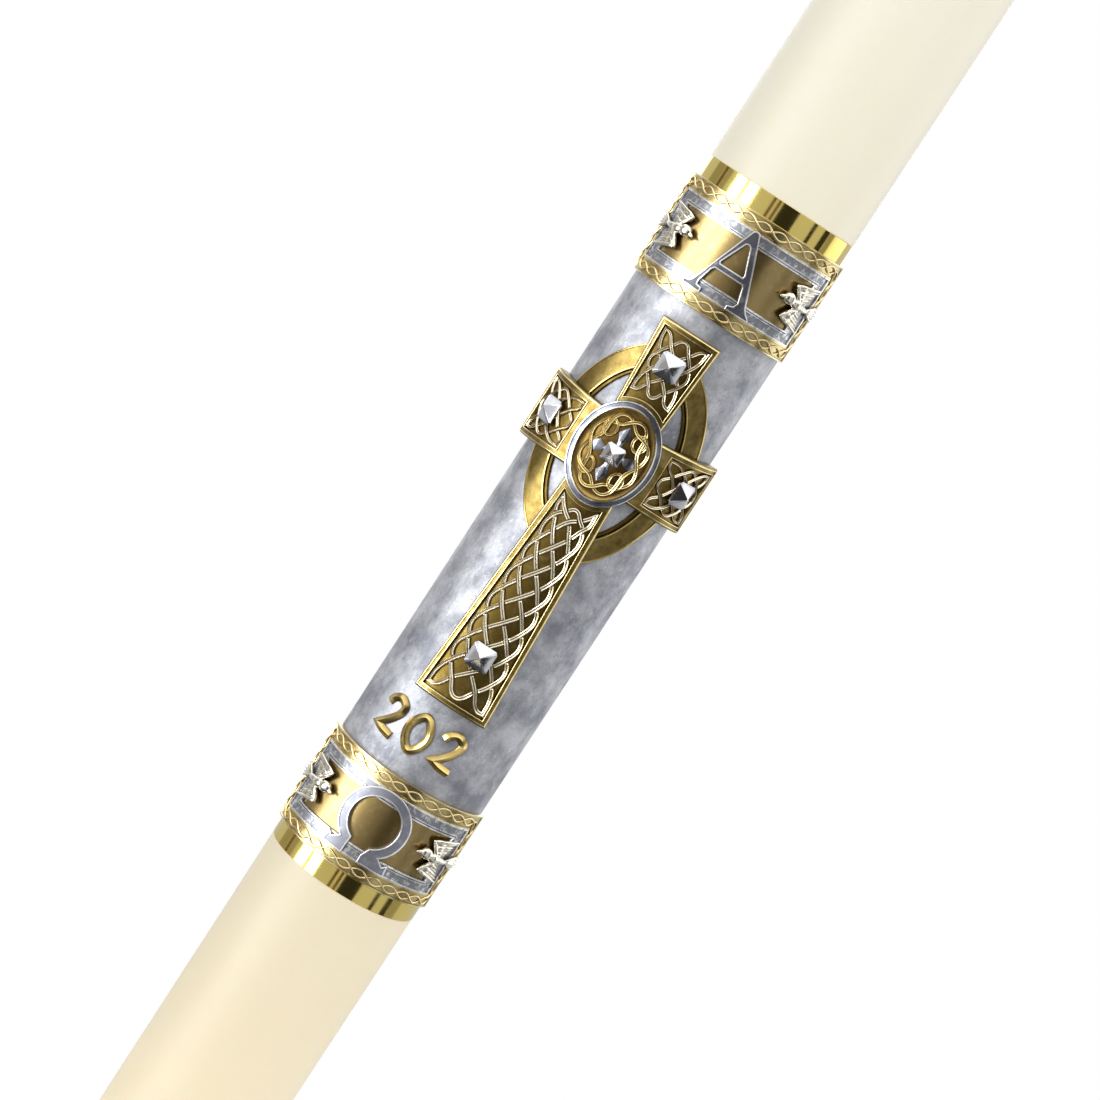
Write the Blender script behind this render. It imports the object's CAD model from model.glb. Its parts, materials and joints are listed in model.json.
import json
from itertools import pairwise, product
from math import asin, atan2, ceil, cos, hypot, pi, radians, sin, sqrt, tan

import bmesh
import bpy
from mathutils import Matrix, Vector, noise
from mathutils.geometry import tessellate_polygon

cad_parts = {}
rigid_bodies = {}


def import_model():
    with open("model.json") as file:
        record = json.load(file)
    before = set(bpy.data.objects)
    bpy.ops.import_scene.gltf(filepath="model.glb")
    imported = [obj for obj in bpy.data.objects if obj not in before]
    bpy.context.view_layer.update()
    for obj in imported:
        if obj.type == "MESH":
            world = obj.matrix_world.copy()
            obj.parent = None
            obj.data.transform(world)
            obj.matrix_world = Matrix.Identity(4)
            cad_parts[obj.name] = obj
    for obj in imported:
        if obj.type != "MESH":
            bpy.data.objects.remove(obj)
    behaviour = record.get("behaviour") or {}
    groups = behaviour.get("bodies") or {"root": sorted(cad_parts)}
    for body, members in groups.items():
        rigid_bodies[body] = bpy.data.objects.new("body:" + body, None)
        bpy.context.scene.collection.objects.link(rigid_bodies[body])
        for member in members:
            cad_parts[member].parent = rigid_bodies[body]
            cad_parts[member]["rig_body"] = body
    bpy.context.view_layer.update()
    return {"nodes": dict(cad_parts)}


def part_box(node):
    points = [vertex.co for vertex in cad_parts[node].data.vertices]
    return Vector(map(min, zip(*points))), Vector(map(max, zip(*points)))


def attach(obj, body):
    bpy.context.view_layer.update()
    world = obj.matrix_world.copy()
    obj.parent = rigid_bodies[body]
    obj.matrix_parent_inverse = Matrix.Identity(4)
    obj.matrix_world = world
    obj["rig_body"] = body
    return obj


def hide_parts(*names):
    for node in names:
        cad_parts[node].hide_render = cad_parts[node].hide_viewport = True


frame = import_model()

# Decorated pillar candle. Lengths on the candle are in millimetres, and MM turns them into metres. The
# stage is in metres. Forms are drawn flat, with X along the round face, Y at minus the radius and Z up
# from the piece's own middle or foot, and are then bent round the candle's axis and lifted into place.
# Turns are in radians from the front, positive towards the viewer's right.

MM = 0.001
SLICE = 1.2
SHARP_ANGLE = radians(34)
JOIN_GAP = 1e-4


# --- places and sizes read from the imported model

def low(node):
    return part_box(node)[0] / MM


def high(node):
    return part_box(node)[1] / MM


def front_radius(node):
    """Largest radius of a node that crosses the front."""
    return -low(node).y


def middle_z(node):
    return (low(node).z + high(node).z) / 2


def height_of(node):
    return high(node).z - low(node).z


def half_turn(node, radius):
    """How far round the face a node reaches to each side of the front."""
    return asin(high(node).x / radius)


PILLAR_R = high("wax_pillar").x
PILLAR_TOP = high("wax_pillar").z
LEAF_R = high("silver_leaf_sleeve").x
BACK_R = LEAF_R - 0.4
BORDER_R = front_radius("alpha_plaque")
FRAME_R = front_radius("alpha_frame")
LETTER_R = front_radius("alpha_letter")
PLAQUE_TURN = half_turn("alpha_plaque", BORDER_R)
FRAME_TURN = half_turn("alpha_frame", FRAME_R)
PLAQUE_HALF_H = height_of("alpha_plaque") / 2
FRAME_HALF_H = height_of("alpha_frame") / 2
FIELD_R = BORDER_R - 0.9
IN_FIELD_R = FIELD_R - 0.4
CROSS_R = front_radius("cross_body")
CROSS_Z = middle_z("medallion_rim")
CROSS_FOOT = low("cross_body").z - CROSS_Z
CROSS_HEAD = high("cross_body").z - CROSS_Z
KNOT_R = front_radius("cross_shaft_knotwork")
FLOOR_R = KNOT_R - 1.4
RIM_R = front_radius("medallion_rim")
RIM_HALF, DISC_HALF, WREATH_HALF, PETAL_HALF = (
    (high("medallion_" + part).x, high("medallion_" + part).z - CROSS_Z)
    for part in ("rim", "disc", "knotwork", "cross")
)
DISC_R = front_radius("medallion_disc")
DIGIT_Z = middle_z("year_digit_second")
DIGIT_HALF_H = height_of("year_digit_second") / 2


# --- flat drawing

def vectors(*places):
    return [Vector(place) for place in places]


def mitre(before, point, after, width, limit):
    """The step to the left at a bend in a path that keeps a strip's width, unless the bend is too sharp."""
    into = (point - before).normalized()
    out = (after - point).normalized()
    side = Vector((-out.y, out.x))
    middle = (side + Vector((-into.y, into.x))).normalized()
    return middle * (width / max(limit, middle.dot(side)))


def inset_loop(loop, distance):
    """A closed loop moved to its own left by distance, with mitred corners."""
    ahead = [*loop[1:], loop[0]]
    return [
        corner + mitre(loop[index - 1], corner, after, distance, 0.4)
        for index, (corner, after) in enumerate(zip(loop, ahead))
    ]


def add_walls(mesh, rings, capped=False):
    """Faces from each ring of points to the next, and over the two ends if they are capped."""
    for lower, upper in pairwise(rings):
        for i in range(len(lower)):
            corners = (lower[i - 1], lower[i], upper[i], upper[i - 1])
            mesh.faces.new(list(dict.fromkeys(corners)))
    if capped:
        mesh.faces.new(rings[0])
        mesh.faces.new(rings[-1])


def add_cap(mesh, rings):
    """Fills the flat area inside the first ring and outside the others."""
    flat = [[Vector((v.co.x, v.co.z, 0)) for v in ring] for ring in rings]
    corners = [v for ring in rings for v in ring]
    for triangle in tessellate_polygon(flat):
        if len(set(triangle)) == 3:
            mesh.faces.new([corners[i] for i in triangle])


def add_relief(mesh, loops, profiles):
    """A raised closed form. Each loop climbs through its profile of (inset, radius) to one shared top."""
    first, last = [], []
    for loop, profile in zip(loops, profiles):
        rings = [
            [mesh.verts.new((p.x, -radius, p.y)) for p in inset_loop(loop, inset)]
            for inset, radius in profile
        ]
        add_walls(mesh, rings)
        first.append(rings[0])
        last.append(rings[-1])
    add_cap(mesh, first)
    add_cap(mesh, last)


def add_strand(mesh, path, crests, half_w, section, foot_r, closed=True):
    """A raised strand along a path. section is (across, drop) pairs over the top, drop None at the foot."""
    rings = []
    count = len(path)
    for index, point in enumerate(path):
        before = path[index - 1] if closed or index else point * 2 - path[1]
        after = path[(index + 1) % count] if closed or index < count - 1 else point * 2 - path[index - 1]
        side = mitre(before, point, after, half_w, 0.5)
        ring = []
        for across, drop in section:
            place = point + side * across
            radius = foot_r if drop is None else max(crests[index] - drop, foot_r + 0.02)
            ring.append(mesh.verts.new((place.x, -radius, place.y)))
        rings.append(ring)
    if closed:
        rings.append(rings[0])
    add_walls(mesh, rings, capped=not closed)


def box_loop(half_x, half_z):
    """Closed loop of a box, anticlockwise."""
    return vectors((-half_x, -half_z), (half_x, -half_z), (half_x, half_z), (-half_x, half_z))


def oval_loop(half_x, half_z, count=96):
    steps = [2 * pi * i / count for i in range(count)]
    return [Vector((half_x * cos(t), half_z * sin(t))) for t in steps]


def hole(loop):
    """The same loop as the edge of a hole."""
    return loop[::-1]


# --- bending, smoothing and placing

def slice_wide_faces(mesh):
    """Cuts faces wider than a slice into narrow upright strips, from left to right."""
    reach = [v.co.x for v in mesh.verts]
    for step in range(ceil(min(reach) / SLICE), int(max(reach) / SLICE) + 1):
        x = step * SLICE
        faces = [
            face for face in mesh.faces
            if any(v.co.x > x for v in face.verts) and any(v.co.x < x for v in face.verts)
        ]
        edges = {e for f in faces for e in f.edges}
        verts = {v for f in faces for v in f.verts}
        geometry = [*verts, *edges, *faces]
        bmesh.ops.bisect_plane(mesh, geom=geometry, plane_co=(x, 0, 0), plane_no=(1, 0, 0), dist=JOIN_GAP)


def add_object(name, data):
    made = bpy.data.objects.new(name, data)
    bpy.context.scene.collection.objects.link(made)
    return made


def mesh_data(mesh, name):
    data = bpy.data.meshes.new(name)
    mesh.to_mesh(data)
    mesh.free()
    return data


def place(node, mesh, material):
    """Puts a clean detailed piece where its CAD node is, on the same body and with the same slot."""
    bmesh.ops.remove_doubles(mesh, verts=mesh.verts[:], dist=JOIN_GAP)
    bmesh.ops.dissolve_degenerate(mesh, edges=mesh.edges[:], dist=JOIN_GAP)
    bmesh.ops.recalc_face_normals(mesh, faces=mesh.faces[:])
    bmesh.ops.scale(mesh, vec=(MM, MM, MM), verts=mesh.verts[:])
    data = mesh_data(mesh, node + "_detail")
    data.shade_smooth()
    data.set_sharp_from_angle(angle=SHARP_ANGLE)
    data.materials.append(material)
    piece = add_object(node + "_detail", data)
    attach(piece, frame["nodes"][node]["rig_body"])
    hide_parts(node)


def bend_and_place(node, mesh, material, bend_r, lift, turn=0.0, sliced=True):
    """Bends a flat form round the axis, its origin at a height and a turn. Wide flat faces need slicing."""
    if sliced:
        slice_wide_faces(mesh)
    for v in mesh.verts:
        angle = v.co.x / bend_r + turn
        radius = -v.co.y
        v.co = Vector((radius * sin(angle), -radius * cos(angle), v.co.z + lift))
    place(node, mesh, material)


def relief_piece(node, material, bend_r, lift, *reliefs):
    """A flat piece of raised forms, each given as its loops and their profiles."""
    mesh = bmesh.new()
    for loops, profiles in reliefs:
        add_relief(mesh, loops, profiles)
    bend_and_place(node, mesh, material, bend_r, lift)


def climb(top, *steps, foot=BACK_R):
    """A profile from a foot radius upwards, its steps given as (inset, drop below a top radius)."""
    return [(0, foot)] + [(inset, top - drop) for inset, drop in steps]


# --- materials

def paint(*screen_colour):
    """Screen colour from 0 to 255, none of it near black, as linear light."""
    return (*(((c / 255 + 0.055) / 1.055) ** 2.4 for c in screen_colour), 1)


class Finish:
    """The shader nodes of a material or of the world."""

    def __init__(self, owner, shader="Principled BSDF"):
        owner.use_nodes = True
        self.owner = owner
        self.nodes = owner.node_tree.nodes
        self.shader = self.nodes[shader]
        self.coordinates = self.node("TexCoord").outputs

    def feed(self, socket, value):
        """Sets a socket to a value, or joins it to another node's output."""
        if isinstance(value, bpy.types.NodeSocket):
            self.owner.node_tree.links.new(value, socket)
        else:
            socket.default_value = value

    def feed_all(self, node, inputs):
        for name, value in inputs.items():
            self.feed(node.inputs[name.replace("_", " ")], value)

    def set(self, **inputs):
        self.feed_all(self.shader, inputs)

    def node(self, kind, **inputs):
        made = self.nodes.new("ShaderNode" + kind)
        self.feed_all(made, inputs)
        return made

    def operate(self, kind, operation, *values):
        """A node that works out one operation on its values, taken in order."""
        made = self.node(kind)
        made.operation = operation
        for socket, value in zip(made.inputs, values):
            self.feed(socket, value)
        return made

    def noise(self, size_mm, detail=4.0, roughness=0.55, stretch=(1, 1, 1)):
        """Noise whose blotches are about size_mm wide, in the candle's own frame."""
        mapped = self.node("Mapping", Scale=stretch, Vector=self.coordinates["Object"]).outputs["Vector"]
        made = self.node("TexNoise", Scale=1 / (size_mm * MM), Detail=detail, Roughness=roughness)
        self.feed(made.inputs["Vector"], mapped)
        return made.outputs["Fac"]

    def radius(self):
        """Distance from the candle's axis, in metres."""
        flat = self.operate("VectorMath", "MULTIPLY", self.coordinates["Object"], (1, 1, 0))
        return self.operate("VectorMath", "LENGTH", flat.outputs["Vector"]).outputs["Value"]

    def height(self, low_mm, high_mm):
        """0 below one height above the base and 1 above another."""
        parts = self.node("SeparateXYZ", Vector=self.coordinates["Object"])
        return self.remap(parts.outputs["Z"], low_mm * MM, high_mm * MM)

    def cavity(self, reach_mm):
        """1 on open faces and less in corners and grooves."""
        made = self.node("AmbientOcclusion", Distance=reach_mm * MM)
        made.samples = 8
        return made.outputs["AO"]

    def remap(self, value, low_in, high_in, low_out=0.0, high_out=1.0):
        made = self.node("MapRange", Value=value, From_Min=low_in, From_Max=high_in)
        self.feed_all(made, {"To Min": low_out, "To Max": high_out})
        return made.outputs["Result"]

    def math(self, operation, first, second):
        made = self.operate("Math", operation, first, second)
        made.use_clamp = True
        return made.outputs["Value"]

    def blend(self, factor, dark, bright):
        made = self.node("Mix")
        made.data_type = "RGBA"
        for index, value in ((0, factor), (6, dark), (7, bright)):
            self.feed(made.inputs[index], value)
        return made.outputs[2]

    def bump(self, height, depth_mm, strength=1.0):
        made = self.node("Bump", Strength=strength, Distance=depth_mm * MM, Height=height)
        self.set(Normal=made.outputs["Normal"])


def new_finish(name):
    return Finish(bpy.data.materials.new(name))


def ivory_wax():
    finish = new_finish("ivory_wax")
    cloud = finish.noise(60, 3)
    warm = finish.blend(cloud, paint(245, 229, 194), paint(249, 235, 204))
    pale = finish.blend(cloud, paint(252, 244, 222), paint(254, 248, 230))
    tone = finish.blend(finish.height(PILLAR_TOP * 0.1, PILLAR_TOP * 0.8), warm, pale)
    finish.set(Base_Color=tone, Roughness=finish.remap(finish.noise(4, 5), 0.3, 0.7, 0.38, 0.5))
    finish.set(Subsurface_Weight=0.3, Subsurface_Radius=(0.006, 0.004, 0.0025), Specular_IOR_Level=0.4)
    finish.bump(finish.noise(9, 4), 0.08, 0.35)
    return finish.owner


def grained(name, dark, bright, rough, grain, relief, depth_mm, strength, **uniform):
    """A material whose tone and roughness follow one noise, with another or the same one as its relief."""
    finish = new_finish(name)
    streak = finish.noise(*grain)
    tone = finish.blend(streak, paint(*dark), paint(*bright))
    finish.set(Base_Color=tone, Roughness=finish.remap(streak, 0.3, 0.7, *rough), **uniform)
    finish.bump(finish.noise(*relief), depth_mm, strength)
    return finish.owner


def silver_leaf():
    """Leaf rubbed onto wax: bright, with cloudy tarnish, fine creases and worn specks."""
    finish = new_finish("silver_leaf")
    cloud = finish.noise(16, 6, 0.62)
    crease = finish.noise(5, 7, 0.7, (1, 1, 0.45))
    worn = finish.remap(finish.noise(2.2, 6, 0.75), 0.55, 0.72)
    tone = finish.blend(finish.remap(cloud, 0.38, 0.62), paint(146, 149, 158), paint(208, 210, 216))
    tone = finish.blend(finish.math("MULTIPLY", worn, 0.6), tone, paint(104, 106, 108))
    bright = finish.remap(finish.noise(3.2, 6, 0.72, (1, 1, 0.6)), 0.6, 0.74)
    tone = finish.blend(finish.math("MULTIPLY", bright, 0.8), tone, paint(244, 246, 250))
    fleck = finish.remap(finish.noise(0.9, 4, 0.8), 0.35, 0.7, 0.0, 0.35)
    tone = finish.blend(fleck, tone, paint(118, 121, 128))
    finish.set(Base_Color=tone, Roughness=finish.remap(crease, 0.3, 0.7, 0.44, 0.6), Metallic=0.62)
    finish.bump(crease, 0.5, 0.8)
    return finish.owner


def patinated(name, recess, crown, low_r, high_r, rough, grain_mm=0.9, grain_depth=0.06, worn_edge=None,
              reach_mm=1.4, metallic=1.0, mottle=0.18, mottle_mm=5, lacquer=0.0):
    """Metal powder rubbed over cast wax: the recess colour up to low_r, the crown colour from high_r."""
    finish = new_finish(name)
    raised = finish.remap(finish.radius(), low_r * MM, high_r * MM)
    open_face = finish.remap(finish.cavity(reach_mm), 0.25, 0.85)
    cloud = finish.remap(finish.noise(mottle_mm, 5, 0.65), 0.3, 0.7, -mottle, mottle)
    shade = finish.math("MULTIPLY", finish.math("ADD", raised, cloud), open_face)
    tone = finish.blend(shade, paint(*recess), paint(*crown))
    if worn_edge:
        spots = finish.remap(finish.noise(2.6, 6, 0.7), 0.56, 0.74)
        tone = finish.blend(finish.math("MULTIPLY", spots, 0.55), tone, paint(*worn_edge))
    finish.set(Base_Color=tone, Roughness=finish.remap(shade, 0.0, 1.0, *rough), Metallic=metallic)
    finish.set(Coat_Weight=lacquer, Coat_Roughness=0.22)
    finish.bump(finish.noise(grain_mm, 6, 0.6), grain_depth, 0.7)
    return finish.owner


WAX = ivory_wax()
LEAF = silver_leaf()
FIBRE = (0.35, 5, 0.55, (1, 1, 0.3))
BRUSHING = (0.6, 4, 0.55, (1, 0.1, 1))
COTTON = grained("wick_cotton", (214, 204, 178), (247, 242, 228), (0.7, 0.95), FIBRE, FIBRE, 0.12, 0.8)
FOIL = grained(
    "polished_gold_foil", (222, 198, 106), (238, 218, 134), (0.07, 0.13), (22, 3), (26, 2, 0.4, (1, 1, 0.25)),
    0.25, 0.25, Metallic=1.0)
STEEL = grained(
    "steel_pin", (170, 172, 176), (214, 216, 220), (0.2, 0.35), BRUSHING, BRUSHING, 0.02, 0.5, Metallic=1.0)
GILT_PLAQUE = patinated(
    "gilded_wax_plaque", (162, 138, 82), (238, 222, 160), FIELD_R + 0.15, BORDER_R, (0.29, 0.2),
    lacquer=1.0)
GILT_CROSS = patinated(
    "gilded_wax_cross", (122, 102, 50), (250, 232, 170), CROSS_R - 0.55, CROSS_R, (0.36, 0.2))
GILT_RING = patinated(
    "gilded_wax_ring", (90, 72, 32), (208, 186, 116), LEAF_R + 1.42, LEAF_R + 1.88, (0.38, 0.2))
GILT_DISC = patinated(
    "gilded_wax_disc", (84, 61, 26), (196, 164, 96), DISC_R - 0.4, DISC_R + 1.2, (0.36, 0.24))
GILT_STRANDS = patinated(
    "gilded_knotwork", (190, 156, 80), (255, 240, 188), BORDER_R - 0.4, BORDER_R + 0.4, (0.34, 0.18),
    reach_mm=0.7)
GILT_WREATH = patinated(
    "gilded_wreath", (150, 116, 54), (255, 238, 176), DISC_R + 0.1, DISC_R + 1.1, (0.36, 0.16),
    reach_mm=0.8)
SILVER_STRANDS = patinated(
    "silvered_knotwork", (150, 124, 74), (250, 243, 220), FLOOR_R + 0.4, KNOT_R - 0.1, (0.34, 0.14),
    worn_edge=(232, 206, 140), reach_mm=0.7)
SILVER_FRAME = patinated(
    "silvered_frame", (146, 149, 156), (255, 255, 255), FRAME_R - 0.75, FRAME_R - 0.1, (0.38, 0.22),
    grain_mm=2.2, grain_depth=0.2, metallic=0.8, mottle=1.0, mottle_mm=2.6)
SILVER_LETTER = patinated(
    "silvered_letter", (100, 102, 110), (255, 255, 255), LETTER_R - 0.5, LETTER_R - 0.05, (0.4, 0.22),
    metallic=0.8, mottle=0.3)
SILVER_OMEGA = patinated(
    "silvered_omega", (150, 153, 163), (255, 255, 255), LETTER_R - 0.5, LETTER_R - 0.05, (0.42, 0.22),
    metallic=0.8, mottle=0.3)
SILVER_RIM = patinated(
    "silvered_rim", (112, 116, 126), (252, 253, 255), RIM_R - 0.8, RIM_R - 0.05, (0.34, 0.16),
    grain_mm=1.8, grain_depth=0.1)
SILVER_PETALS = patinated(
    "silvered_petals", (84, 86, 98), (196, 200, 212), DISC_R + 0.1, DISC_R + 1.0, (0.3, 0.14))
SILVER_DOVE = patinated(
    "silvered_doves", (132, 106, 56), (250, 247, 234), FIELD_R + 1.2, FIELD_R + 3.2, (0.36, 0.16),
    worn_edge=(240, 218, 156), reach_mm=1.0)
SILVER_NAIL = patinated(
    "silver_nail_head", (150, 152, 158), (232, 234, 240), CROSS_R, CROSS_R + 2, (0.2, 0.1),
    grain_mm=2.4, grain_depth=0.05)
GILT_DIGITS = patinated(
    "gilded_numerals", (116, 90, 44), (234, 208, 134), LEAF_R + 0.3, LEAF_R + 1.8, (0.3, 0.16))


# --- pillar, wick, leaf and foils

def uneven_ring(mesh, radius, z, segments, ripple_mm, ripple_size, stretch=1.0):
    """Points round the axis, their radius swelling and shrinking a little."""
    ring = []
    for i in range(segments):
        angle = 2 * pi * i / segments
        spot = Vector((radius * cos(angle), radius * sin(angle), z * stretch))
        reach = radius + ripple_mm * noise.noise(spot / ripple_size)
        ring.append(mesh.verts.new((reach * cos(angle), reach * sin(angle), z)))
    return ring


def wax_pillar():
    """A turned form, from the middle of its foot to the middle of its slightly hollow top."""
    segments, rows, shoulder_steps = 160, 36, 12
    base_chamfer, shoulder_h, shoulder_w, dish = 1.2, 9.0, 5.0, 0.8
    flat_r, seat_r = PILLAR_R - shoulder_w, LEAF_R - 0.6
    wrap_low, wrap_high = low("lower_gold_foil").z, high("upper_gold_foil").z
    shoulder_z = PILLAR_TOP - shoulder_h
    chamfer_r = PILLAR_R - base_chamfer
    profile = [(chamfer_r - 0.3, 0), (chamfer_r, 0.1), (PILLAR_R - 0.1, base_chamfer)]
    profile += [(PILLAR_R, 2 + 8 * i) for i in range(int((wrap_low - 4) / 8))]
    profile += [(PILLAR_R, wrap_low - 0.2), (seat_r, wrap_low + 0.2), (seat_r, wrap_high - 0.2)]
    profile += [(PILLAR_R, wrap_high + 0.2)]
    profile += [(PILLAR_R, wrap_high + 2 + (shoulder_z - wrap_high - 4) * i / rows) for i in range(rows + 1)]
    for i in range(1, shoulder_steps + 1):
        angle = pi / 2 * i / shoulder_steps
        profile.append((PILLAR_R - shoulder_w * (1 - cos(angle)), shoulder_z + shoulder_h * sin(angle)))
    for share in (0.92, 0.8, 0.65, 0.5, 0.35, 0.2, 0.1):
        profile.append((flat_r * share, PILLAR_TOP - dish * (1 - share * share) ** 2))
    mesh = bmesh.new()
    foot = [mesh.verts.new((0, 0, 0))] * segments
    side = [uneven_ring(mesh, radius, z, segments, 0.12, 45) for radius, z in profile]
    top = [mesh.verts.new((0, 0, PILLAR_TOP - dish))] * segments
    add_walls(mesh, [foot, *side, top])
    place("wax_pillar", mesh, WAX)


def add_tube(mesh, path, radius, sides=8):
    """A closed round tube along a path of points, with tapered ends."""
    turns = [2 * pi * k / sides for k in range(sides)]
    rings = []
    for index, point in enumerate(path):
        ahead = path[min(index + 1, len(path) - 1)] - path[max(index - 1, 0)]
        turn = ahead.to_track_quat("Z", "Y").to_matrix()
        taper = 0.55 if index in (0, len(path) - 1) else 1.0
        circle = [Vector((cos(t), sin(t), 0)) * radius * taper for t in turns]
        rings.append([mesh.verts.new(point + turn @ spot) for spot in circle])
    add_walls(mesh, rings, capped=True)


def wick():
    """Eight plaited yarns round a core, with a short length inside the wax."""
    top = high("wick").z
    bottom, steps = PILLAR_TOP - 8, 90
    yarn_r, pitch, weave_depth = 0.62, 11.0, 0.22
    course_r = high("wick").x - yarn_r - weave_depth
    mesh = bmesh.new()
    for hand in (-1, 1):
        for start in range(4):
            path = []
            for i in range(steps + 1):
                z = bottom + (top - bottom - yarn_r) * i / steps
                angle = hand * 2 * pi * (z - bottom) / pitch + start * pi / 2 + (hand + 1) * pi / 8
                reach = course_r + weave_depth * (hand * cos(4 * angle))
                close = 1 - 0.35 * max(0, (z - top + 2.5) / 2.5)
                path.append(Vector((reach * close * cos(angle), reach * close * sin(angle), z)))
            add_tube(mesh, path, yarn_r)
    core = [Vector((0, 0, bottom + (top - bottom - 1) * i / 6)) for i in range(7)]
    add_tube(mesh, core, course_r, 12)
    place("wick", mesh, COTTON)


def wrap(node, material, ripple_mm, ripple_size, step):
    """A thin open-ended sleeve with rounded edges and an uneven face."""
    outer, z_low, z_high = high(node).x, low(node).z, high(node).z
    inner, edge, segments = outer - 0.55, 0.12, 240
    span = z_high - z_low - 2 * edge
    rows = int(span / step)
    face = [(outer, z_low + edge + span * i / rows) for i in range(rows + 1)]
    profile = [(inner, z_low), (outer - edge, z_low), *face, (outer - edge, z_high), (inner, z_high)]
    mesh = bmesh.new()
    rings = []
    for index, (radius, z) in enumerate(profile):
        uneven = ripple_mm if 2 < index < len(profile) - 3 else 0.0
        rings.append(uneven_ring(mesh, radius, z, segments, uneven, ripple_size, 0.6))
    add_walls(mesh, [*rings, rings[0]])
    place(node, mesh, material)


# --- letter plaques

def plaque(node):
    """A gilded slab with a rim round its border and a sunken field."""
    outer = box_loop(PLAQUE_TURN * BORDER_R, PLAQUE_HALF_H)
    window = box_loop(FRAME_TURN * BORDER_R - 0.3, FRAME_HALF_H - 0.3)
    rim = ((0.1, 0.3), (0.3, 0), (0.9, 0), (1.15, 0.4))
    edges = [climb(BORDER_R, (0, 1.0), *rim), climb(BORDER_R, (0, BORDER_R - FIELD_R), *rim)]
    field = ([inset_loop(window, -0.2)], [[(0, BACK_R + 0.05), (0, FIELD_R)]])
    relief_piece(node, GILT_PLAQUE, BORDER_R, middle_z(node), ([outer, hole(window)], edges), field)


def rounded_box_path(half_x, half_z, corner_r, step):
    """Evenly spaced points round a rounded box, the outward direction at each, and the whole length."""
    near_x, near_z = half_x - corner_r, half_z - corner_r
    sides = [((-near_x, -half_z), 2 * near_x), ((half_x, -near_z), 2 * near_z),
             ((near_x, half_z), 2 * near_x), ((-half_x, near_z), 2 * near_z)]
    arc = pi / 2 * corner_r
    total = 4 * (near_x + near_z + arc)
    count = int(total / step)
    course = []
    for index in range(count):
        travel = total * index / count
        side = 0
        while travel > sides[side][1] + arc:
            travel -= sides[side][1] + arc
            side += 1
        start, straight = sides[side]
        heading = side * pi / 2
        along = Vector((cos(heading), sin(heading)))
        spot = Vector(start) + along * min(travel, straight)
        if travel > straight:
            swing = (travel - straight) / corner_r
            inward = Vector((-along.y, along.x))
            spot += along * corner_r * sin(swing) + inward * corner_r * (1 - cos(swing))
            heading += swing
        course.append((spot, Vector((sin(heading), -cos(heading)))))
    return course, total


ROUND_CORD = [(-1, None), (-1, 0.55), (-0.72, 0.18), (-0.3, 0.02), (0, 0), (0.3, 0.02), (0.72, 0.18),
              (1, 0.55), (1, None)]


def twisted_border(node):
    """Two thin strands twisting round the plaque's border, over and under in turn."""
    half_w, pitch, swing, step, lift, corner_r = 0.48, 8.4, 1.75, 0.55, 0.16, 3.4
    half_x = (PLAQUE_TURN + FRAME_TURN) / 2 * BORDER_R
    half_z = (PLAQUE_HALF_H + FRAME_HALF_H) / 2
    course, total = rounded_box_path(half_x, half_z, corner_r, step)
    waves = round(total / (2 * pitch))
    mesh = bmesh.new()
    for hand in (-1, 1):
        path, crests = [], []
        for index, (spot, outward) in enumerate(course):
            phase = 2 * pi * waves * index / len(course)
            path.append(spot + outward * hand * swing * sin(phase))
            crests.append(BORDER_R + 0.42 + hand * lift * cos(phase))
        add_strand(mesh, path, crests, half_w, ROUND_CORD, BORDER_R - 0.6)
    bend_and_place(node, mesh, GILT_STRANDS, BORDER_R, middle_z(node), sliced=False)


def channel_frame(node):
    """Flat channel between raised rims, the inner rim doubled."""
    bar_h, side_turn = 6.2, radians(10.8)
    outer = box_loop(FRAME_TURN * FRAME_R, FRAME_HALF_H)
    window = box_loop((FRAME_TURN - side_turn) * FRAME_R, FRAME_HALF_H - bar_h)
    edge = ((0, 0.3), (0.08, 0.15), (0.2, 0), (0.85, 0), (1.0, 0.75))
    second_rim = ((1.2, 0.75), (1.35, 0.1), (1.75, 0.1), (1.9, 0.75))
    edges = [climb(FRAME_R, *edge, foot=IN_FIELD_R), climb(FRAME_R, *edge, *second_rim, foot=IN_FIELD_R)]
    relief_piece(node, SILVER_FRAME, FRAME_R, middle_z(node), ([outer, hole(window)], edges))


def letter(node, outer, holes, material):
    """A flat letter, its foot at height 0, with a thin raised rim along every edge."""
    profile = climb(LETTER_R, (0, 0.45), (0.08, 0.1), (0.2, 0), (0.68, 0), (0.84, 0.5), foot=IN_FIELD_R)
    loops = [outer, *holes]
    relief_piece(node, material, LETTER_R, low(node).z, (loops, [profile] * len(loops)))


def arc_points(centre, half_x, half_z, start, end, count):
    """Points on an oval arc, angles in degrees anticlockwise from the right."""
    steps = [radians(start + (end - start) * i / count) for i in range(count + 1)]
    return [Vector((centre[0] + half_x * cos(t), centre[1] + half_z * sin(t))) for t in steps]


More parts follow.
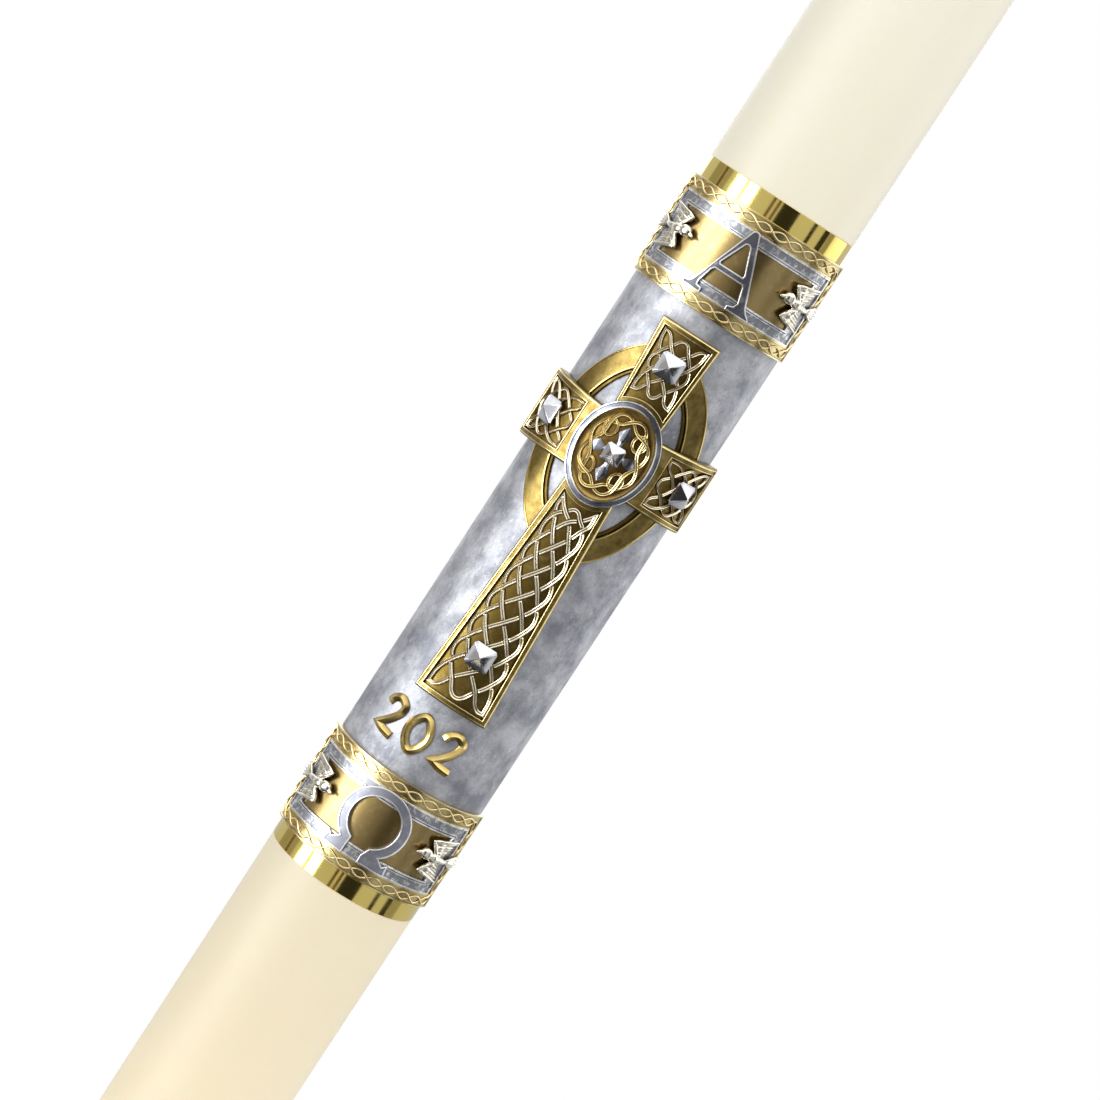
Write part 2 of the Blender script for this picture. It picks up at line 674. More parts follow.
def letter_a():
    """Capital A: thin left leg, thick right leg, bracketed slab feet."""
    height = height_of("alpha_letter")
    slab, left_foot, right_foot = 2.4, (-17.4, -7.6), (5.9, 18.2)
    outer = vectors(
        (left_foot[0], 0), (left_foot[1], 0), (left_foot[1], slab), (-10.2, slab + 0.6), (-10.4, 4.6),
        (-8.5, 11.6), (-7.4, 12.9), (6.8, 12.9), (7.7, 11.9), (9.6, 5.2), (8.8, slab + 0.7),
        (right_foot[0], slab - 0.2), (right_foot[0], 0), (right_foot[1], 0), (right_foot[1], 1.2),
        (15.8, slab + 0.8), (14.2, 5.2), (2.3, height - 1.6))
    outer += arc_points((0.1, height - 1.9), 2.2, 1.9, 20, 160, 8)
    outer += vectors((-2.1, height - 1.6), (-13.4, 4.6), (-14.6, slab + 0.7), (left_foot[0], slab - 0.2))
    counter = vectors((-6.3, 16.0), (5.3, 16.0), (5.6, 16.9), (1.1, height - 8.2))
    counter += arc_points((-0.3, height - 8.6), 1.3, 1.3, 30, 150, 5)
    counter += vectors((-1.6, height - 8.4), (-6.6, 16.8))
    letter("alpha_letter", outer, [hole(counter)], SILVER_LETTER)


def letter_omega():
    """Capital Omega: a round bowl open at the foot, standing on two slab feet with upturned tips."""
    height = height_of("omega_letter")
    outer_w, stroke_w, stroke_h, foot_h = 17.6, 5.2, 4.7, 4.6
    left_mouth, right_mouth, left_tip, right_tip = -5.2, 3.0, -16.4, 17.4
    centre = (0.4, (height + 3.0) / 2)
    outer_h = height - centre[1]
    shape = arc_points(centre, outer_w, outer_h, -52, 232, 64)
    shape += vectors((left_tip + 3, foot_h - 0.4), (left_tip + 0.7, foot_h + 1.5), (left_tip, 0),
                     (left_mouth, 0), (left_mouth, foot_h - 0.4))
    shape += arc_points(centre, outer_w - stroke_w, outer_h - stroke_h, 245, -68, 64)
    shape += vectors((right_mouth, foot_h - 0.4), (right_mouth, 0), (right_tip, 0),
                     (right_tip - 0.7, foot_h + 1.5), (right_tip - 3, foot_h - 0.4))
    letter("omega_letter", shape, [], SILVER_OMEGA)


# --- doves

def add_blob(mesh, centre, half_axes, angle=0.0, lift=0.0, detail=3):
    """An egg shape: centre and half axes in the drawing plane, lift outwards."""
    turn = Matrix.Rotation(-angle, 4, "Y")
    size = Matrix.Diagonal((half_axes[0], half_axes[2], half_axes[1], 1))
    spot = Matrix.Translation((centre[0], -lift, centre[1]))
    bmesh.ops.create_icosphere(mesh, subdivisions=detail, radius=1, matrix=spot @ turn @ size)


def add_feather(mesh, root, tip, width, thick, lift):
    """A long egg from root to tip, in the drawing plane."""
    span = Vector(tip) - Vector(root)
    middle = (Vector(tip) + Vector(root)) / 2
    add_blob(mesh, middle, (span.length / 2, width / 2, thick), atan2(span.y, span.x), lift)


def add_wing(mesh, *places):
    """Two rows of feathers. The places are the shoulder, the wrist, the inner end and the outer end."""
    shoulder, wrist, inner_end, outer_end = vectors(*places)
    feathers = 6
    for rank in range(feathers):
        share = rank / (feathers - 1)
        root = shoulder.lerp(wrist, share)
        reach = 1.06 - 0.12 * (rank % 2)
        tip = root.lerp(inner_end.lerp(outer_end, share), reach)
        step = 0.45 * (rank % 2)
        add_feather(mesh, root, tip, 1.6, 0.75, 1.5 + step + 0.12 * rank)
        add_feather(mesh, root, root.lerp(tip, 0.45), 1.9, 0.8, 2.4 + step)
    add_feather(mesh, wrist, outer_end, 1.5, 0.9, 2.7)
    add_feather(mesh, shoulder.lerp(wrist, -0.1), shoulder.lerp(wrist, 1.08), 1.9, 1.2, 2.9)


def dove_form():
    """Flying dove seen from above: head to +X, wings up and down, tail fanned to -X."""
    mesh = bmesh.new()
    add_blob(mesh, (-1.4, 0), (6.0, 1.6, 1.7), radians(3), 2.4)
    add_blob(mesh, (2.4, 0.3), (3.8, 2.4, 2.2), radians(8), 2.8)
    add_blob(mesh, (7.0, 1.2), (3.1, 2.8, 2.3), radians(14), 3.2)
    add_blob(mesh, (10.2, 0.9), (1.9, 0.85, 0.8), radians(-24), 3.2)
    for rank in range(-2, 3):
        tip = (-15.8 + 0.5 * abs(rank), 1.85 * rank)
        add_feather(mesh, (-6.0, 0.15 * rank), tip, 1.5, 0.8, 2.8 - 0.2 * abs(rank))
    add_wing(mesh, (1.2, 1.4), (6.6, 8.0), (-4.6, 3.0), (-8.8, 11.0))
    add_wing(mesh, (1.2, -1.4), (6.2, -7.4), (-4.6, -3.0), (-8.4, -11.0))
    return mesh


DOVE_TURN = radians(49)


def voxel_joined(mesh):
    """Overlapping blobs made one clean skin."""
    voxel, softness = 0.2, 0.5
    holder = add_object("joining", mesh_data(mesh, "joining"))
    remesh = holder.modifiers.new("remesh", "REMESH")
    remesh.mode = "VOXEL"
    remesh.voxel_size = voxel
    soften = holder.modifiers.new("soften", "SMOOTH")
    soften.factor = softness
    soften.iterations = 1
    graph = bpy.context.evaluated_depsgraph_get()
    joined = bmesh.new()
    joined.from_mesh(holder.evaluated_get(graph).to_mesh())
    bpy.data.objects.remove(holder)
    return joined


def dove(node, side):
    mesh = voxel_joined(dove_form())
    for v in mesh.verts:
        v.co = Vector((-side * v.co.x, v.co.y - FIELD_R, v.co.z))
    bend_and_place(node, mesh, SILVER_DOVE, FIELD_R, middle_z(node), side * DOVE_TURN, sliced=False)


# --- interlace

# Where the columns of a plait stand, as shares of its half width.
COLUMN_SHARES = (-1.0, -0.8, -0.45, 0.0, 0.45, 0.8, 1.0)
COLUMNS = len(COLUMN_SHARES) - 1
CORD_PAIR = [(-1, None), (-1, 0.6), (-0.86, 0.2), (-0.58, 0.0), (-0.3, 0.14), (0, 0.5), (0.3, 0.14),
             (0.58, 0.0), (0.86, 0.2), (1, 0.6), (1, None)]


def plait_strands(rows):
    """Closed strands of a plait: lists of (column, row) grid points, each with the slope of its next step."""
    strands = []
    seen = set()
    starts = [(side, row) for side in (0, COLUMNS) for row in range(1, rows, 2)]
    starts += [(column, end) for end in (0, rows) for column in range(1, COLUMNS, 2)]
    for start in starts:
        if start in seen:
            continue
        x, y = start
        dx = -1 if x == COLUMNS else 1
        dy = -1 if y == rows else 1
        strand = []
        while not strand or (x, y) != start:
            strand.append((x, y, dx * dy))
            if x in (0, COLUMNS) or y in (0, rows):
                seen.add((x, y))
            x, y = x + dx, y + dy
            dx = -dx if x in (0, COLUMNS) else dx
            dy = -dy if y in (0, rows) else dy
        strands.append(strand)
    return strands


def knot_path(strand, rows, spot_of, tip_of):
    """Grid points as (spot, kind), with a sharp tip put in where a strand turns a corner."""
    path = []
    for index, (x, y, slope) in enumerate(strand):
        on_side, on_end = x in (0, COLUMNS), y in (0, rows)
        if on_side or on_end:
            kind = "edge"
        else:
            kind = "over" if (slope > 0) == (x % 2 == 1) else "under"
        path.append((spot_of(x, y), kind))
        next_x, next_y, _ = strand[(index + 1) % len(strand)]
        if (on_side and next_y in (0, rows)) or (on_end and next_x in (0, COLUMNS)):
            corner = (0 if min(x, next_x) == 0 else COLUMNS, 0 if min(y, next_y) == 0 else rows)
            path.append((tip_of(*corner), "tip"))
    return path


def sampled_knot(path, half_w):
    """Smooth points along a strand, and the crest's radius at each: low where it passes under another."""
    count, step = len(path), 0.42
    points, crests = [], []
    for index in range(count):
        (start, kind), (end, next_kind) = path[index], path[(index + 1) % count]
        span = end - start
        before = start - path[index - 1][0]
        after = path[(index + 2) % count][0] - end
        leave = span if kind == "tip" else (before.normalized() + span.normalized())
        arrive = span if next_kind == "tip" else (span.normalized() + after.normalized())
        leave, arrive = (way.normalized() * span.length * 1.1 for way in (leave, arrive))
        pieces = max(3, ceil(span.length / step))
        for i in range(pieces):
            t = i / pieces
            blend = (2 * t**3 - 3 * t**2 + 1, t**3 - 2 * t**2 + t, 3 * t**2 - 2 * t**3, t**3 - t**2)
            points.append(start * blend[0] + leave * blend[1] + end * blend[2] + arrive * blend[3])
            dip = 0.0
            for gap, side_kind in ((t * span.length, kind), ((1 - t) * span.length, next_kind)):
                if side_kind == "under":
                    share = min(1, max(0, (gap / half_w - 0.8) / 0.7))
                    dip = max(dip, 1 - share * share * (3 - 2 * share))
            crests.append(KNOT_R - dip)
    return points, crests


def plait(node, rows, half_w, spot_of, tip_of):
    """A six-strand plait on a grid, its corners drawn out to tips."""
    mesh = bmesh.new()
    for strand in plait_strands(rows):
        points, crests = sampled_knot(knot_path(strand, rows, spot_of, tip_of), half_w)
        add_strand(mesh, points, crests, half_w, CORD_PAIR, FLOOR_R - 0.5)
    bend_and_place(node, mesh, SILVER_STRANDS, CROSS_R, CROSS_Z, sliced=False)


# --- ringed cross

HEAD_HALF_W, NECK_HALF_W = 15.7, 12.6
WAIST_HALF_W, SHAFT_HALF_W, WAIST_DROP = 13.0, 19.7, 24.0
ARM_ROOT_HALF_H, ARM_TIP_HALF_H = 15.5, 17.3
ARM_ROOT_TURN, ARM_TIP_TURN = radians(27), radians(75)
LIMB_RIM, ARC_STEPS = 3.2, 16
OUTER_BEVEL = climb(CROSS_R, (0, 1.0), (0.12, 0.6), (0.9, 0), (1.15, 0), (1.3, 0.5))
PANEL_EDGE = climb(CROSS_R, (0, CROSS_R - FLOOR_R), (0.1, CROSS_R - FLOOR_R - 0.9), (0.2, 0.1), (0.32, 0),
                   (0.55, 0), (0.7, 0.5))


def shaft_half(z):
    """Half width of the shaft at a height from the crossing."""
    share = (z - CROSS_FOOT) / (-WAIST_DROP - CROSS_FOOT)
    return SHAFT_HALF_W + (WAIST_HALF_W - SHAFT_HALF_W) * share


def head_half(z):
    return NECK_HALF_W + (HEAD_HALF_W - NECK_HALF_W) * z / CROSS_HEAD


def arm_half(s):
    """Half height of a side arm at a distance along the face."""
    share = (s / CROSS_R - ARM_ROOT_TURN) / (ARM_TIP_TURN - ARM_ROOT_TURN)
    return ARM_ROOT_HALF_H + (ARM_TIP_HALF_H - ARM_ROOT_HALF_H) * share


def medallion_arc(grow, half_x, up):
    """Points of the grown medallion oval between two sides, from right to left."""
    wide, tall = RIM_HALF[0] + grow, RIM_HALF[1] + grow
    xs = [half_x - 2 * half_x * i / ARC_STEPS for i in range(ARC_STEPS + 1)]
    return [Vector((x, up * tall * sqrt(1 - (x / wide) ** 2))) for x in xs]


def mirrored(loop):
    return [Vector((-p.x, p.y)) for p in loop][::-1]


def upright_limb(grow, root_half, end_half, end_z):
    """Outline of the head or the shaft, from the grown medallion to its far end."""
    if end_z < 0:
        end = vectors((-end_half, end_z), (end_half, end_z))
        return end + medallion_arc(grow, root_half, -1)
    end = vectors((end_half, end_z), (-end_half, end_z))
    return medallion_arc(grow, root_half, 1)[::-1] + end


def limb_panels():
    """The sunken panels' outlines: head, shaft, left and right."""
    low_z, top_z = CROSS_FOOT + LIMB_RIM, CROSS_HEAD - LIMB_RIM
    shaft = upright_limb(1.9, shaft_half(-WAIST_DROP) - LIMB_RIM, shaft_half(low_z) - LIMB_RIM, low_z)
    head = upright_limb(1.9, head_half(WAIST_DROP) - LIMB_RIM, head_half(top_z) - LIMB_RIM, top_z)
    inner, outer = ARM_ROOT_TURN * CROSS_R + LIMB_RIM, ARM_TIP_TURN * CROSS_R - LIMB_RIM
    near, far = arm_half(inner) - LIMB_RIM, arm_half(outer) - LIMB_RIM
    right = vectors((inner, -near), (outer, -far), (outer, far), (inner, near))
    return head, shaft, mirrored(right), right


def cross_body():
    """Four limbs with bevelled edges and sunken panels, and the seat of the medallion."""
    tuck = 1.4
    reach = ARM_TIP_TURN * CROSS_R
    head = upright_limb(-tuck, NECK_HALF_W, head_half(CROSS_HEAD), CROSS_HEAD)
    shaft = upright_limb(-tuck, WAIST_HALF_W, shaft_half(CROSS_FOOT), CROSS_FOOT)
    wide, tall = RIM_HALF[0] - tuck, RIM_HALF[1] - tuck
    right = vectors((reach, -arm_half(reach)), (reach, arm_half(reach)))
    for i in range(ARC_STEPS + 1):
        z = arm_half(wide) * (1 - 2 * i / ARC_STEPS)
        right.append(Vector((wide * sqrt(1 - (z / tall) ** 2), z)))
    reliefs = [([oval_loop(RIM_HALF[0] - 0.3, RIM_HALF[1] - 0.3)], [[(0, BACK_R + 0.1), (0, CROSS_R - 2.6)]])]
    for limb, panel in zip((head, shaft, mirrored(right), right), limb_panels()):
        reliefs.append(([limb, hole(panel)], [OUTER_BEVEL, PANEL_EDGE]))
        reliefs.append(([inset_loop(panel, -0.3)], [[(0, BACK_R + 0.05), (0, FLOOR_R)]]))
    relief_piece("cross_body", GILT_CROSS, CROSS_R, CROSS_Z, *reliefs)


def away(line):
    """-1 at the first row or column of a plait and 1 at the last."""
    return -1 if line == 0 else 1


def shaft_knotwork():
    """The plait down the shaft, its last row short where it closes under the medallion."""
    half_w, rows = 1.02, 16
    bottom, top = CROSS_FOOT + LIMB_RIM + 2.3, -RIM_HALF[1] - 2.9 - 1.6
    unit = (top - bottom) / (rows - 1.1)

    def height(row):
        return bottom + unit * (min(row, rows - 2) + max(0, row - rows + 2) * 0.45)

    def spot_of(column, row):
        z = height(row)
        return Vector((COLUMN_SHARES[column] * (shaft_half(z) - LIMB_RIM - half_w - 0.35), z))

    def tip_of(column, row):
        z = height(row) + (-0.16 if row == 0 else 2.56)
        return Vector((away(column) * (shaft_half(z) - LIMB_RIM - half_w - 0.1), z))

    plait("cross_shaft_knotwork", rows, half_w, spot_of, tip_of)


def head_knotwork():
    """The plait that fills the head, from the medallion to the top."""
    half_w, rows = 0.86, 6
    bottom, top = RIM_HALF[1] + 2.9 + 1.7, CROSS_HEAD - LIMB_RIM - 1.9

    def spot_of(column, row):
        z = bottom + (top - bottom) * row / rows
        return Vector((COLUMN_SHARES[column] * (head_half(z) - LIMB_RIM - half_w - 0.7), z))

    def tip_of(column, row):
        return spot_of(column, row) + Vector((0.5 * away(column), 0.7 * away(row)))

    plait("cross_head_knotwork", rows, half_w, spot_of, tip_of)


def arm_knotwork(node, side):
    """The plait that fills a side arm."""
    half_w, rows = 0.76, 6
    inner, outer = ARM_ROOT_TURN * CROSS_R + LIMB_RIM + 1.5, ARM_TIP_TURN * CROSS_R - LIMB_RIM - 1.5

    def spot_of(column, row):
        s = inner + (outer - inner) * row / rows
        return Vector((side * s, COLUMN_SHARES[column] * (arm_half(s) - LIMB_RIM - half_w - 0.8)))

    def tip_of(column, row):
        return spot_of(column, row) + Vector((side * 0.4 * away(row), 0.4 * away(column)))

    plait(node, rows, half_w, spot_of, tip_of)


def ring_arc(node, side, up):
    """One quarter of the ring, a band with a lower lip inside it, its ends running under the limbs."""
    ring_r = max(hypot(v.co.x, v.co.y) for v in frame["nodes"][node].data.vertices) / MM
    outer_half, inner_half, lip_half = (34.6, 54.5), (26.0, 42.5), (24.6, 41.0)
    first_deg, last_deg, count = 14.5, 69.5, 40
    steps = [radians(first_deg + (last_deg - first_deg) * i / count) for i in range(count + 1)]
    band_edge = climb(ring_r, (0.1, 0.8), (0.3, 0.1), (0.5, 0), (1.0, 0), (1.2, 0.4))
    lip_edge = climb(ring_r, (0, 1.1), (0.3, 0.8))

    def along(half, turns):
        spots = [Vector((half[0] * cos(t), half[1] * sin(t))) for t in turns]
        return [Vector((side * asin(p.x / ring_r) * ring_r, up * p.y)) for p in spots]

    reliefs = []
    for outside, inside, edge in ((outer_half, inner_half, band_edge), (inner_half, lip_half, lip_edge)):
        loop = along(outside, steps) + along(inside, steps[::-1])
        reliefs.append(([loop if side * up > 0 else loop[::-1]], [edge]))
    relief_piece(node, GILT_RING, ring_r, CROSS_Z, *reliefs)


# --- medallion

def bent_oval(half, radius, inset=0.0):
    """An oval seen from the front, drawn along the face at a radius."""
    loop = oval_loop(half[0] - inset, half[1] - inset, 128)
    return [Vector((asin(p.x / radius) * radius, p.y)) for p in loop]


def medallion():
    loops = [bent_oval(RIM_HALF, RIM_R), hole(bent_oval(DISC_HALF, RIM_R))]
    outer_edge = climb(RIM_R, (0, 1.0), (0.2, 0.35), (0.5, 0), (0.8, 0), (1.05, 0.75))
    inner_edge = climb(RIM_R, (0, 1.0), (0.12, 0.3), (0.3, 0), (0.85, 0), (1.05, 0.75))
    relief_piece("medallion_rim", SILVER_RIM, RIM_R, CROSS_Z, (loops, [outer_edge, inner_edge]))
    dish = climb(DISC_R, (0, -1.0), (0.35, -0.95), (0.9, -0.55), (1.6, -0.2), (2.4, 0))
    relief_piece("medallion_disc", GILT_DISC, DISC_R, CROSS_Z, ([bent_oval(DISC_HALF, DISC_R, 0.05)], [dish]))


def wreath():
    """Two strands crossing at the petals' tips and between them, with a loop between each pair of petals."""
    half_w, waves, steps, loop_steps = 0.86, 4, 320, 40
    crest, lift, foot_r = DISC_R + 1.2, 0.35, DISC_R - 0.5
    swing, loop_place, loop_half = 2.3, 0.49, (3.0, 3.8)
    outer = (WREATH_HALF[0] - half_w, WREATH_HALF[1] - half_w)
    mesh = bmesh.new()
    for hand in (-1, 1):
        path, crests = [], []
        for i in range(steps):
            t = 2 * pi * i / steps
            gap = swing - hand * swing * cos(waves * t + pi / 2)
            path.append(Vector(((outer[0] - gap) * cos(t), (outer[1] - gap) * sin(t))))
            crests.append(crest + hand * lift * sin(waves * t + pi / 2))
        add_strand(mesh, path, crests, half_w, CORD_PAIR, foot_r)
    crests = [crest - 0.1 + 0.2 * sin(4 * pi * i / loop_steps) for i in range(loop_steps)]
    for side, up in product((-1, 1), repeat=2):
        centre = Vector((side * WREATH_HALF[0] * loop_place, up * WREATH_HALF[1] * loop_place))
        path = [centre + spot for spot in oval_loop(*loop_half, loop_steps)]
        add_strand(mesh, path, crests, half_w * 0.85, CORD_PAIR, foot_r)
    bend_and_place("medallion_knotwork", mesh, GILT_WREATH, DISC_R, CROSS_Z, sliced=False)


def petal_cross():
    """Four kite petals on narrow stems, each folded to a ridge along its middle."""
    edge_r, ridge_r, foot_r = DISC_R + 0.5, DISC_R + 1.0, DISC_R - 0.4
    marks = [(1.3, 0.2), (1.15, 0.42), (2.0, 0.56), (3.1, 0.7), (1.5, 0.86), (0, 1.0)]
    directions = product((((1, 0), PETAL_HALF[1]), ((0, 1), PETAL_HALF[0] * 1.14)), (-1, 1))
    mesh = bmesh.new()
    for (across, reach), side in directions:
        across = Vector(across)
        outward = Vector((across.y, across.x)) * side * reach
        right = [outward * share + across * width for width, share in marks]
        left = [outward * share - across * width for width, share in marks[:-1]]
        middle = [outward * share for _, share in marks[:-1]]
        levels = ((foot_r, right), (edge_r, right), (edge_r, left), (foot_r, left), (ridge_r, middle))
        foot, edge, left_edge, left_foot, ridge = (
            [mesh.verts.new((p.x, -radius, p.y)) for p in spots] for radius, spots in levels)
        for row, tip in ((left_edge, edge), (left_foot, foot), (ridge, edge)):
            row.append(tip[-1])
        for i in range(len(marks) - 1):
            for near, far in pairwise((foot, edge, ridge, left_edge, left_foot, foot)):
                corners = (near[i], near[i + 1], far[i + 1], far[i])
                mesh.faces.new(list(dict.fromkeys(corners)))
        mesh.faces.new((foot[0], edge[0], ridge[0], left_edge[0], left_foot[0]))
    bend_and_place("medallion_cross", mesh, SILVER_PETALS, DISC_R, CROSS_Z)


# --- nail heads

def turn_of(node):
    """The turn of a node's middle from the front."""
    lo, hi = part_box(node)
    return atan2(lo.x + hi.x, -lo.y - hi.y)


def nail_head(name):
    """A square pyramid with cut corners on a thin base. The centre one is a little smaller."""
    node = "nail_head_" + name
    base_t, peak_h, tip_half, soft, cut, centre_share = 1.0, 3.8, 0.35, 0.14, 0.2, 0.88
    seat_r = CROSS_R + 0.1
    base_r = seat_r + base_t
    peak_r = base_r + peak_h
    half = height_of(node) / 2 * (centre_share if name == "centre" else 1.0)
    centre_z = middle_z(node)
    levels = [(half - soft, seat_r), (half, seat_r + soft), (half, base_r - soft), (half - soft, base_r),
              (tip_half + soft, peak_r - soft * 1.4), (tip_half, peak_r)]
    mesh = bmesh.new()
    rings = []
    for reach, radius in levels:
        short = reach * (1 - cut)
        corners = [(-short, -reach), (short, -reach), (reach, -short), (reach, short),
                   (short, reach), (-short, reach), (-reach, short), (-reach, -short)]
        rings.append([mesh.verts.new((x, -radius, centre_z + z)) for x, z in corners])
    add_walls(mesh, rings, capped=True)
    ridges = [e for e in mesh.edges if abs(e.verts[0].co.y - e.verts[1].co.y) > 1.0 and e.calc_length() > 4]
    bmesh.ops.bevel(mesh, geom=ridges, offset=0.12, segments=2, affect="EDGES", profile=0.5)
    spin = Matrix.Rotation(turn_of(node), 3, "Z")
    bmesh.ops.rotate(mesh, verts=mesh.verts[:], cent=(0, 0, 0), matrix=spin)
    place(node, mesh, SILVER_NAIL)


# --- year numerals

CHISELLED = [(-1, None), (-1, 1.25), (-0.86, 1.0), (0, 0), (0.86, 1.0), (1, 1.25), (1, None)]


def smooth_through(points, closed):
    """Catmull-Rom points through hand-placed ones; a repeated point makes a sharp corner."""
    path = []
    count, steps = len(points), 8
    for index in range(count if closed else count - 1):
        p1, p2 = points[index], points[(index + 1) % count]
        if (p2 - p1).length < 1e-6:
            continue
        p0 = points[index - 1] if closed or index else p1
        p3 = points[(index + 2) % count] if closed or index < count - 2 else p2
        for i in range(steps):
            t = i / steps
            path.append(0.5 * (2 * p1 + (p2 - p0) * t + (2 * p0 - 5 * p1 + 4 * p2 - p3) * t * t
                               + (3 * p1 - p0 - 3 * p2 + p3) * t**3))
    if not closed:
        path.append(points[-1])
    return path


def digit(node, marks, closed):
    """A numeral drawn in one chiselled stroke through its marks."""
    half_w = 2.0
    path = smooth_through(marks, closed)
    crests = [front_radius("year_digit_second")] * len(path)
    mesh = bmesh.new()
    add_strand(mesh, path, crests, half_w, CHISELLED, BACK_R, closed)
    bend_and_place(node, mesh, GILT_DIGITS, LEAF_R + 1, DIGIT_Z, turn_of(node), sliced=False)


def digit_two(node):
    drawn_half_h = 10.5
    marks = vectors((-4.9, 4.6), (-3.4, 7.2), (0.3, 8.9), (4.1, 6.6), (3.9, 3.0), (0.8, -1.6), (-4.3, -6.4),
                    (-4.3, -6.4), (-0.6, -7.6), (5.2, -8.4))
    digit(node, [mark * (DIGIT_HALF_H / drawn_half_h) for mark in marks], False)


def digit_zero(node):
    end = DIGIT_HALF_H - 1.9
    side = vectors((0, end), (3.9, 5.2), (5.5, 0), (3.9, -5.2), (0, -end))
    digit(node, side + mirrored(side[1:-1]), True)


# --- the stage

CAMERA_HEIGHT, CAMERA_DISTANCE, CAMERA_TURN = 0.613, 1.531, radians(1.8)
CAMERA_PITCH, CAMERA_ROLL, CAMERA_SIDE = radians(6.98), radians(33.08), -0.0017
CAMERA_LENS, SENSOR = 110.2, 36.0


def studio_camera():
    data = bpy.data.cameras.new("photo_camera")
    data.lens, data.sensor_width = CAMERA_LENS, SENSOR
    data.clip_start, data.clip_end = 0.05, 20
    right = Vector((cos(CAMERA_TURN), sin(CAMERA_TURN), 0))
    level = Vector((-sin(CAMERA_TURN), cos(CAMERA_TURN), 0))
    forward = level * cos(CAMERA_PITCH) - Vector((0, 0, sin(CAMERA_PITCH)))
    up = right.cross(forward)
    rolled_right = right * cos(CAMERA_ROLL) + up * sin(CAMERA_ROLL)
    rolled_up = up * cos(CAMERA_ROLL) - right * sin(CAMERA_ROLL)
    rotation = Matrix((rolled_right, rolled_up, -forward)).transposed().to_4x4()
    spot = -level * CAMERA_DISTANCE + right * CAMERA_SIDE + Vector((0, 0, CAMERA_HEIGHT))
    camera = add_object("photo_camera", data)
    camera.matrix_world = Matrix.Translation(spot) @ rotation
    bpy.context.scene.camera = camera


def softbox(name, from_deg, to_deg, distance, z_low, z_high, strength, in_metal=True, on_wax=True):
    """An upright soft light facing the axis, covering a range of turns from the front."""
    middle = radians((from_deg + to_deg) / 2)
    width = 2 * distance * tan(radians(to_deg - from_deg) / 2)
    height = z_high - z_low
    data = bpy.data.lights.new(name, "AREA")
    data.shape = "RECTANGLE"
    data.size, data.size_y = width, height
    data.energy = strength * width * height * pi
    light = add_object(name, data)
    light.location = (distance * sin(middle), -distance * cos(middle), (z_low + z_high) / 2)
    facing = Vector((-light.location.x, -light.location.y, 0))
    light.rotation_mode = "QUATERNION"
    light.rotation_quaternion = facing.to_track_quat("-Z", "Y")
    light.visible_camera = False
    light.visible_glossy = in_metal
    light.visible_diffuse = on_wax


def flag(name, from_deg, to_deg, material):
    """A tall curved card that shows only in reflections."""
    distance, z_low, z_high = 2.2, -0.9, 1.9
    steps = max(2, int((to_deg - from_deg) / 3))
    turns = [radians(from_deg + (to_deg - from_deg) * i / steps) for i in range(steps + 1)]
    mesh = bmesh.new()
    lower, upper = (
        [mesh.verts.new((distance * sin(t), -distance * cos(t), z)) for t in turns] for z in (z_low, z_high))
    for i in range(steps):
        mesh.faces.new((lower[i], lower[i + 1], upper[i + 1], upper[i]))
    card = add_object(name, mesh_data(mesh, name))
    card.data.materials.append(material)
    card.visible_camera = False
    card.visible_diffuse = False
    card.visible_shadow = False


def flat_material(name, colour, roughness):
    finish = new_finish(name)
    finish.set(Base_Color=colour, Roughness=roughness)
    return finish.owner


SKY = ((0.0, 0.05), (0.1, 0.1), (0.22, 0.55), (0.5, 0.66), (0.7, 0.75), (0.86, 1.5), (1.0, 1.6))


def studio_world():
    """White behind the candle; what its metal reflects is dim below and bright overhead."""
    world = bpy.data.worlds.new("studio")
    finish = Finish(world, "Background")
    direction = finish.node("SeparateXYZ", Vector=finish.coordinates["Generated"])
    sky = finish.node("ValToRGB", Fac=finish.remap(direction.outputs["Z"], -1, 1))
    steps = sky.color_ramp.elements
    while len(steps) < len(SKY):
        steps.new(0.5)
    for element, (height, level) in zip(steps, SKY):
        element.position = height
        element.color = (level, level, level, 1)
    to_camera = finish.node("LightPath").outputs["Is Camera Ray"]
    finish.set(Color=finish.blend(to_camera, sky.outputs["Color"], (1, 1, 1, 1)))
    bpy.context.scene.world = world


def floor():
    radius_m = 0.22
    mesh = bmesh.new()
    bmesh.ops.create_circle(mesh, cap_ends=True, radius=radius_m, segments=96)
    sheet = add_object("floor", mesh_data(mesh, "floor"))
    sheet.data.materials.append(flat_material("pale_floor", (0.9, 0.9, 0.9, 1), 0.6))
    sheet.visible_glossy = False


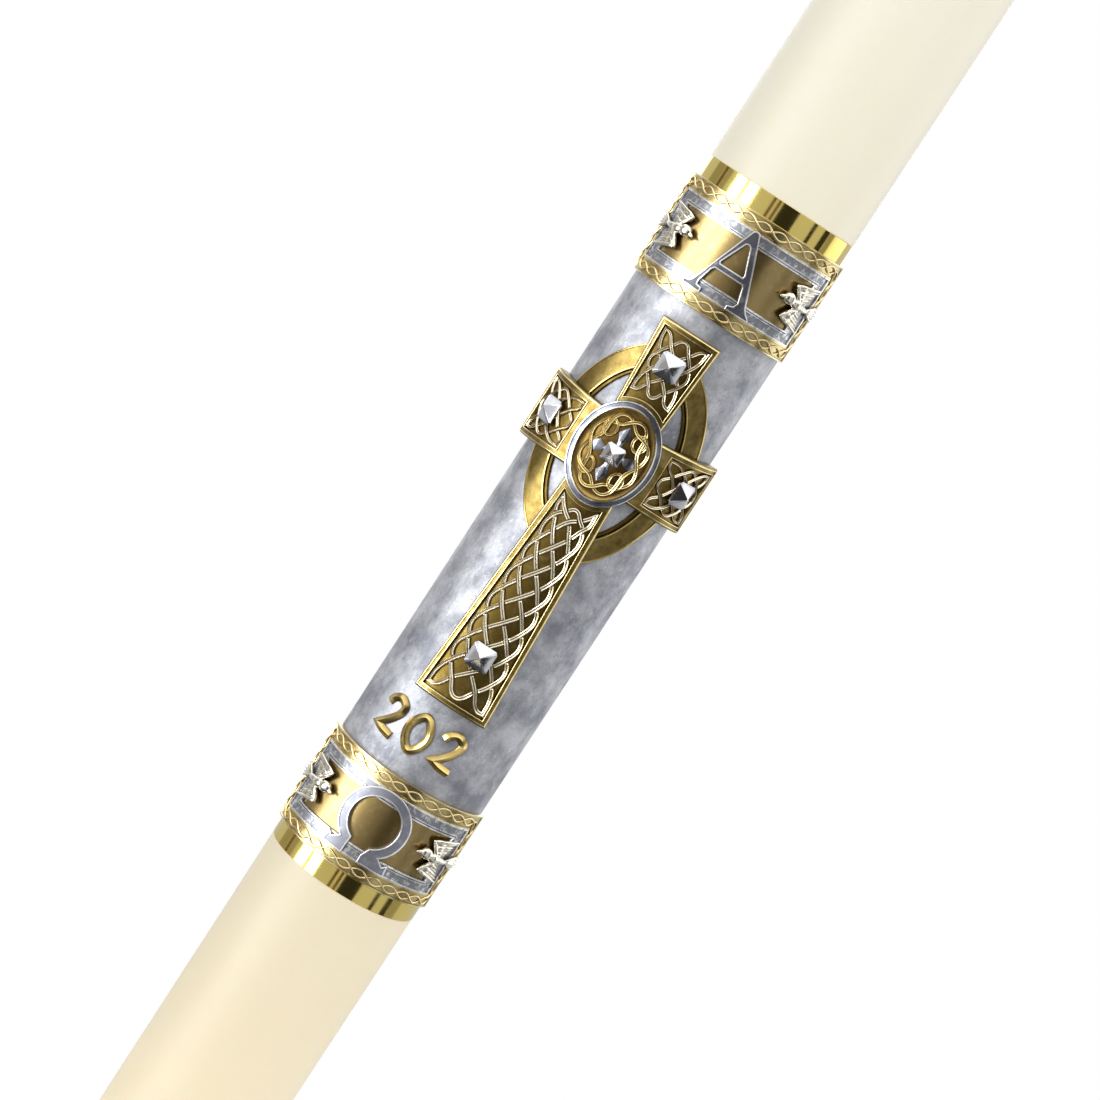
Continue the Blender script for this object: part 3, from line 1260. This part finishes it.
def studio():
    studio_world()
    floor()
    softbox("left_strip_outer", -70, -53, 1.3, -0.3, 0.8, 6.2, on_wax=False)
    softbox("left_strip_inner", -49, -33, 1.3, -0.3, 0.8, 6.2, on_wax=False)
    softbox("front_fill", -50, 40, 1.4, 0.42, 1.56, 0.73, in_metal=False)
    softbox("right_softbox", 98, 135, 1.6, 0.1, 1.1, 0.9)
    softbox("back_softbox", 165, 215, 1.6, 0.1, 1.1, 1.2)
    dark = flat_material("flag_cloth", (0.02, 0.017, 0.012, 1), 0.9)
    brown = flat_material("flag_felt", (0.16, 0.07, 0.03, 1), 0.9)
    grey = flat_material("flag_paper", (0.42, 0.4, 0.36, 1), 0.9)
    flag("left_card", -116, -97, grey)
    flag("left_flag", -96, -90, brown)
    flag("left_card_near", -89, -80, grey)
    flag("front_flag_left", -9, -5, brown)
    flag("front_flag_middle", -1, 3, brown)
    flag("front_flag", 6, 32, dark)
    flag("right_flag_near", 57, 63, dark)
    flag("right_flag_far", 77, 87, dark)
    flag("right_card", 88, 104, grey)
    bpy.context.scene.view_settings.view_transform = "Standard"


# --- the whole candle

wax_pillar()
wick()
wrap("silver_leaf_sleeve", LEAF, 0.07, 9, 3.0)
wrap("lower_gold_foil", FOIL, 0.03, 14, 2.0)
wrap("upper_gold_foil", FOIL, 0.03, 14, 2.0)
for word in ("alpha", "omega"):
    plaque(word + "_plaque")
    twisted_border(word + "_border_knotwork")
    channel_frame(word + "_frame")
    dove(word + "_dove_left", -1)
    dove(word + "_dove_right", 1)
letter_a()
letter_omega()
cross_body()
shaft_knotwork()
head_knotwork()
arm_knotwork("cross_left_knotwork", -1)
arm_knotwork("cross_right_knotwork", 1)
for height, up in (("lower", -1), ("upper", 1)):
    ring_arc("ring_" + height + "_left", -1, up)
    ring_arc("ring_" + height + "_right", 1, up)
medallion()
wreath()
petal_cross()
for name in ("centre", "top", "foot", "left", "right"):
    nail_head(name)
    pin_materials = frame["nodes"]["nail_pin_" + name].data.materials
    pin_materials.clear()
    pin_materials.append(STEEL)
digit_two("year_digit_first")
digit_zero("year_digit_second")
digit_two("year_digit_third")
studio()
studio_camera()
